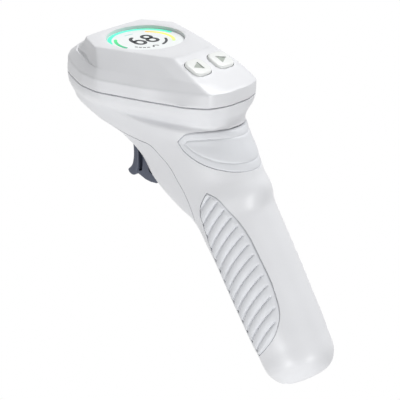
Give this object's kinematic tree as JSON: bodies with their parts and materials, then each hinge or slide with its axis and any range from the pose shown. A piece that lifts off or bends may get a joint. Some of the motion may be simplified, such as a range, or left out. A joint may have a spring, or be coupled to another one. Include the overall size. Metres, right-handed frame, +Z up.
{
  "type": "motorized pipette controller",
  "caption": "Pistol-grip motorized pipette controller: faceted head with round display and two arrow buttons, trigger, nose socket for a serological pipette, pump and battery inside.",
  "frame": {"origin": "centre of the pipette socket's mouth, under the nose", "axes": "+X towards the user (rear of the head), +Y to the user's right, +Z up, square to the top cover's parting line"},
  "size_m": [0.1346, 0.0628, 0.1317],
  "materials": {
    "white_plastic": "satin moulded",
    "button_plastic": "satin moulded",
    "soft_grip": "soft-touch overmould",
    "dark_plastic": "fine texture",
    "window": "polished",
    "lcd": "lit panel",
    "black_plastic": "moulded",
    "circuit_board": "solder mask",
    "steel": "plain",
    "brass": "machined",
    "valve_plastic": "moulded",
    "filter_white": "moulded",
    "collar_plastic": "moulded",
    "silicone": "translucent silicone",
    "cell_sleeve": "shrink sleeve"
  },
  "bodies": {
    "shell": {"top_cover": "white_plastic", "main_housing": "white_plastic", "front_cover": "white_plastic", "thumb_pad": "soft_grip", "grip_left": "soft_grip", "grip_right": "soft_grip", "display_lens": "window", "display_module": "lcd", "display_frame": "black_plastic", "board_chips": "black_plastic", "pump_ring": "black_plastic", "pump_head": "black_plastic", "battery_cradle": "black_plastic", "button_board": "circuit_board", "main_board": "circuit_board", "sensor_board": "circuit_board", "charge_board": "circuit_board", "tact_switches": "steel", "cover_screws": "steel", "trigger_pin": "steel", "pump_motor": "steel", "contact_top": "steel", "contact_bottom": "steel", "charge_socket": "steel", "valve_block": "valve_plastic", "suction_valve": "valve_plastic", "blow_valve": "valve_plastic", "filter_cup": "filter_white", "filter_disc": "filter_white", "filter_cap": "filter_white", "nose_collar": "collar_plastic", "pipette_adaptor": "silicone", "pump_tube": "silicone", "battery_cell": "cell_sleeve"},
    "trigger_body": {"trigger": "dark_plastic", "trigger_spring": "steel", "trigger_magnet": "steel"},
    "left_button": {"button_left": "button_plastic", "plunger_left": "black_plastic"},
    "right_button": {"button_right": "button_plastic", "plunger_right": "black_plastic"},
    "crank": {"pump_crank": "brass"}
  },
  "joints": [
    {"name": "trigger_hinge", "type": "hinge", "parent": "shell", "child": "trigger_body", "pos_m": [0.03, 0, -0.0055], "axis": [0, -1, 0], "range_deg": [0, 14], "stiffness_Nm_per_rad": 0.06, "springref_deg": -14.32},
    {"name": "left_press", "type": "slide", "parent": "shell", "child": "left_button", "axis": [-0.3778, 0, -0.9259], "range_m": [0, 0.0008], "stiffness_N_per_m": 800, "springref_m": -0.0008},
    {"name": "right_press", "type": "slide", "parent": "shell", "child": "right_button", "axis": [-0.3778, 0, -0.9259], "range_m": [0, 0.0008], "stiffness_N_per_m": 800, "springref_m": -0.0008},
    {"name": "pump_spin", "type": "hinge", "parent": "shell", "child": "crank", "pos_m": [0.07173, 0, -0.02292], "axis": [-0.549, 0, 0.8358], "continuous": true}
  ]
}
